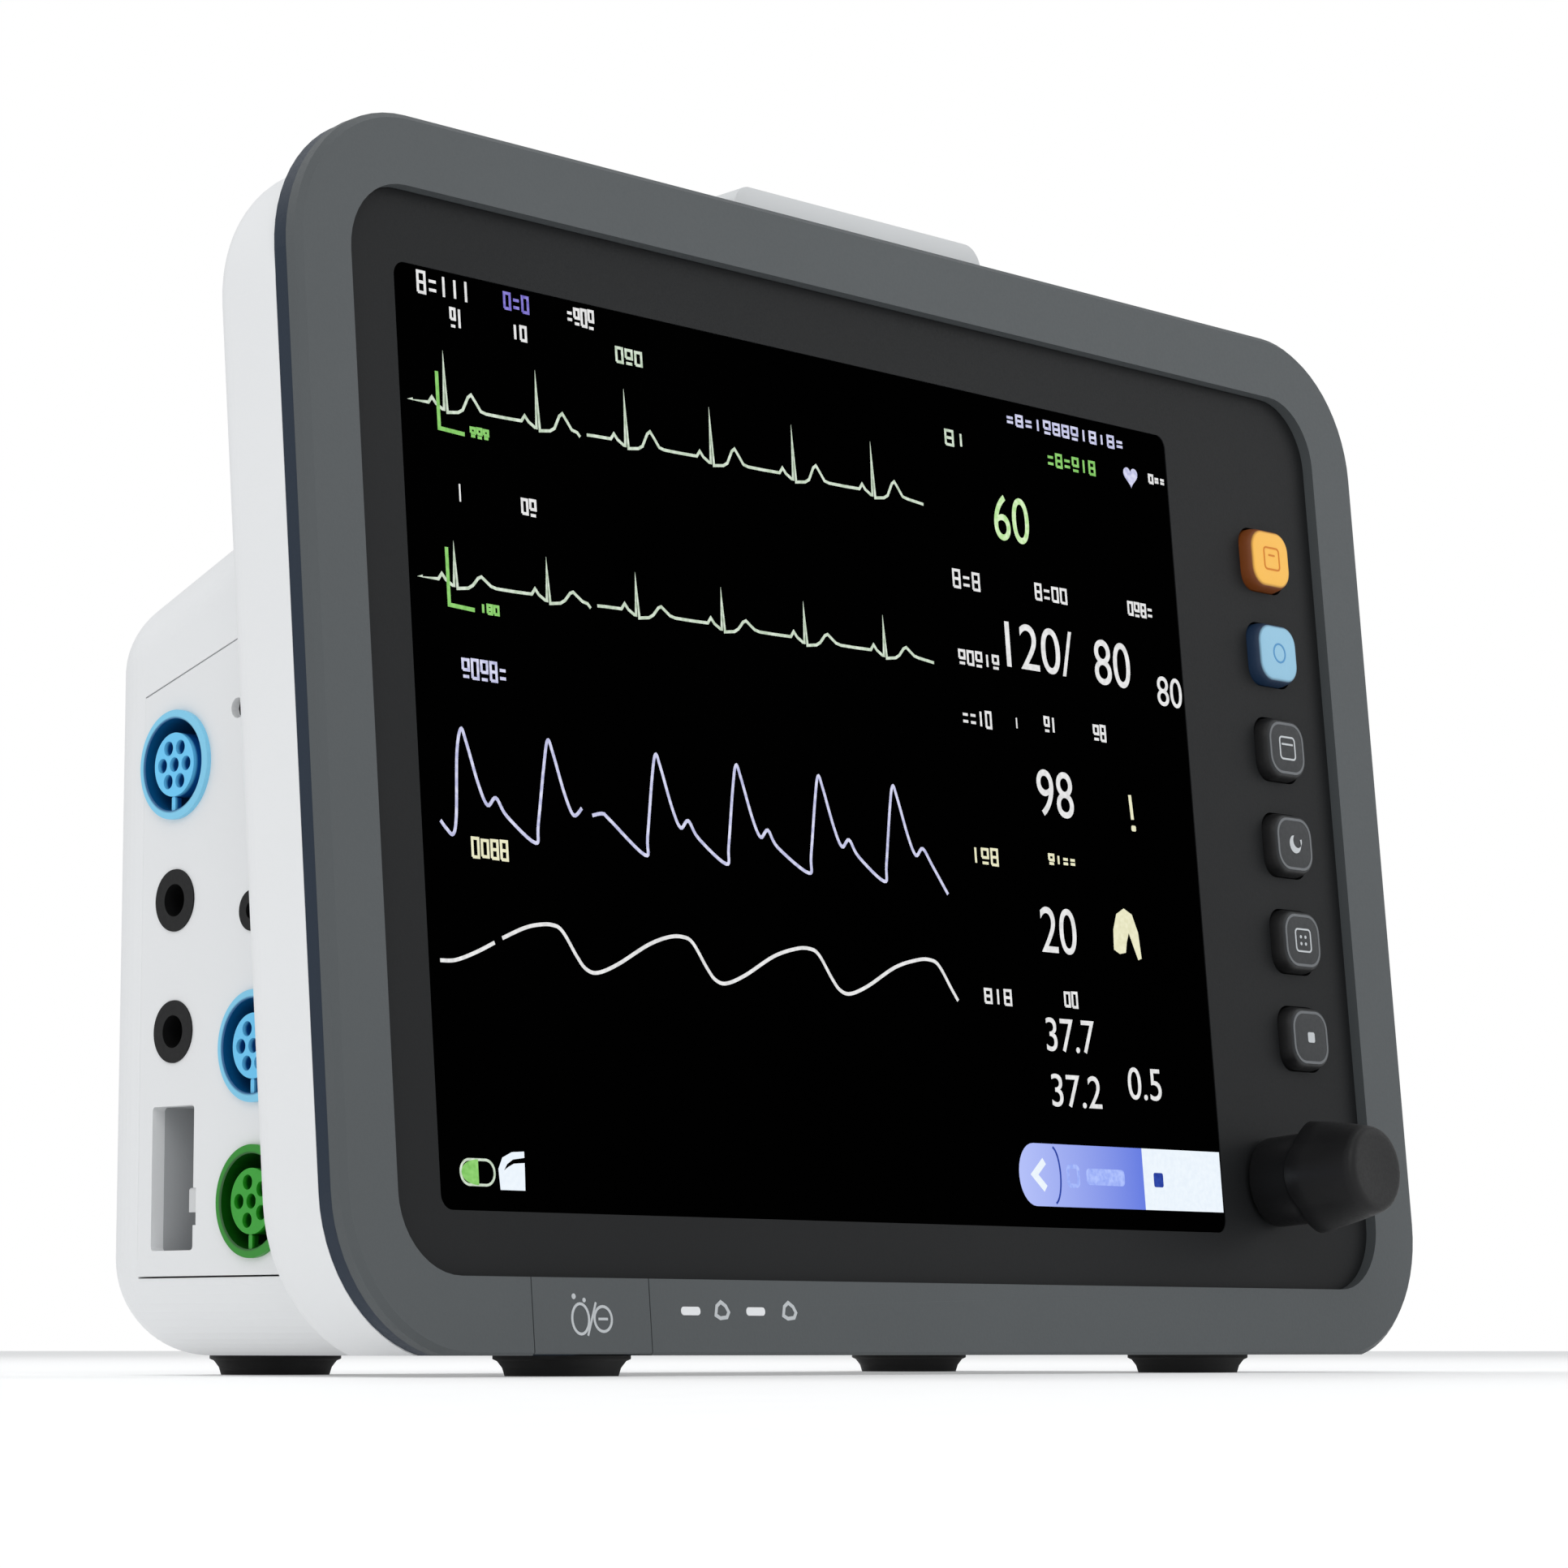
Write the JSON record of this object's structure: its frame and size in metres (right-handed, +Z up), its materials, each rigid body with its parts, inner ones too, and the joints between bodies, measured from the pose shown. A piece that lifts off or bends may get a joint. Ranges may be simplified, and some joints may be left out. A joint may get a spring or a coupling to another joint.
{
  "type": "patient monitor",
  "caption": "Bedside patient monitor with a leaning screen front, key column, push knob, side sockets, mains inlet, battery door and folding carry handle on rubber feet.",
  "frame": {"origin": "on the table under the middle of the whole object's box", "axes": "+X to the right along the width as seen from the front, -Y towards the front where the screen faces, +Z up"},
  "size_m": [0.3438, 0.1534, 0.2513],
  "materials": {
    "bezel": "fine satin grain, dark grey",
    "band": "satin, dark navy",
    "casing": "fine grain, light grey",
    "side_panel": "fine grain, light grey",
    "panel": "smooth, charcoal",
    "screen": "anti-glare front of a lit screen",
    "key_orange": "silicone, orange",
    "key_blue": "silicone, light blue",
    "key_dark": "silicone, charcoal",
    "lens": "diffusing",
    "knob": "satin, near black",
    "lamp": "diffusing",
    "socket_blue": "smooth, light blue",
    "insert_blue": "smooth, light blue",
    "socket_green": "smooth, green",
    "insert_green": "smooth, green",
    "jack": "black",
    "recess": "mid grey",
    "latch": "off white",
    "pump": "turned",
    "supply_board": "laminate with components",
    "inlet": "black",
    "ports": "dark grey",
    "battery": "dark grey wrap",
    "handle": "fine grain, grey",
    "foot": "black rubber",
    "machined_metal": "bright",
    "inner_steel": "pressed sheet",
    "brass": "turned",
    "circuit_board": "green laminate",
    "inner_black": "black"
  },
  "bodies": {
    "monitor": {"front_bezel": "bezel", "trim_band": "band", "front_casing": "casing", "front_panel": "panel", "display_glass": "screen", "display_module": "inner_steel", "display_bracket": "inner_steel", "key_board": "circuit_board", "key_switches": "inner_black", "power_switch": "inner_black", "indicator_lenses": "lens", "encoder_body": "inner_black", "encoder_nut": "machined_metal", "alarm_lamp": "lamp", "alarm_led_board": "circuit_board", "chassis_plate": "inner_steel", "main_board": "circuit_board", "board_standoffs": "brass", "rear_housing": "casing", "side_panel": "side_panel", "ecg_socket": "socket_blue", "ecg_insert": "insert_blue", "spo2_socket": "socket_blue", "spo2_insert": "insert_blue", "pressure_socket": "socket_green", "pressure_insert": "insert_green", "probe_jacks": "jack", "cuff_port": "machined_metal", "trap_socket": "recess", "parameter_board": "circuit_board", "cuff_pump": "pump", "power_supply": "supply_board", "mains_inlet": "inlet", "inlet_pins": "brass", "earth_stud": "brass", "port_plate": "ports", "battery": "battery", "door_pin": "machined_metal", "handle_pins": "machined_metal", "speaker": "inner_black", "mount_inserts": "brass", "foot_front_left": "foot", "foot_front_right": "foot", "foot_rear_left": "foot", "foot_rear_right": "foot", "foot_screws": "machined_metal", "casing_screws": "machined_metal"},
    "orange_key": {"key_1_orange": "key_orange"},
    "blue_key": {"key_2_blue": "key_blue"},
    "third_key": {"key_3": "key_dark"},
    "fourth_key": {"key_4": "key_dark"},
    "fifth_key": {"key_5": "key_dark"},
    "sixth_key": {"key_6": "key_dark"},
    "power_button": {"power_key": "bezel"},
    "knob_push": {"encoder_plunger": "machined_metal"},
    "knob": {"knob_cap": "knob", "encoder_shaft": "machined_metal"},
    "latch": {"trap_latch": "latch"},
    "door": {"battery_door": "casing"},
    "handle": {"carry_handle": "handle"}
  },
  "joints": [
    {"name": "orange_key_press", "type": "slide", "parent": "monitor", "child": "orange_key", "axis": [0, 0.9964, -0.0849], "range_m": [0, 0.0012], "stiffness_N_per_m": 600},
    {"name": "blue_key_press", "type": "slide", "parent": "monitor", "child": "blue_key", "axis": [0, 0.9964, -0.0849], "range_m": [0, 0.0012], "stiffness_N_per_m": 600},
    {"name": "third_key_press", "type": "slide", "parent": "monitor", "child": "third_key", "axis": [0, 0.9964, -0.0849], "range_m": [0, 0.0012], "stiffness_N_per_m": 600},
    {"name": "fourth_key_press", "type": "slide", "parent": "monitor", "child": "fourth_key", "axis": [0, 0.9964, -0.0849], "range_m": [0, 0.0012], "stiffness_N_per_m": 600},
    {"name": "fifth_key_press", "type": "slide", "parent": "monitor", "child": "fifth_key", "axis": [0, 0.9964, -0.0849], "range_m": [0, 0.0012], "stiffness_N_per_m": 600},
    {"name": "sixth_key_press", "type": "slide", "parent": "monitor", "child": "sixth_key", "axis": [0, 0.9964, -0.0849], "range_m": [0, 0.0012], "stiffness_N_per_m": 600},
    {"name": "power_press", "type": "slide", "parent": "monitor", "child": "power_button", "axis": [0, 0.9964, -0.0849], "range_m": [0, 0.001], "stiffness_N_per_m": 800},
    {"name": "knob_press", "type": "slide", "parent": "monitor", "child": "knob_push", "axis": [0, 0.9964, -0.0849], "range_m": [0, 0.0008], "stiffness_N_per_m": 2500},
    {"name": "knob_turn", "type": "hinge", "parent": "knob_push", "child": "knob", "pos_m": [0.1193, -0.04895, 0.04306], "axis": [0, 0.9964, -0.0849], "continuous": true},
    {"name": "latch_slide", "type": "slide", "parent": "monitor", "child": "latch", "axis": [0, 0, -1], "range_m": [0, 0.0022], "stiffness_N_per_m": 300},
    {"name": "door_hinge", "type": "hinge", "parent": "monitor", "child": "door", "pos_m": [0.15377, 0.0229, 0.075], "axis": [0, 0, 1], "range_deg": [0, 95]},
    {"name": "handle_fold", "type": "hinge", "parent": "monitor", "child": "handle", "pos_m": [0, 0.00767, 0.17009], "axis": [1, 0, 0], "range_deg": [0, 105]}
  ]
}
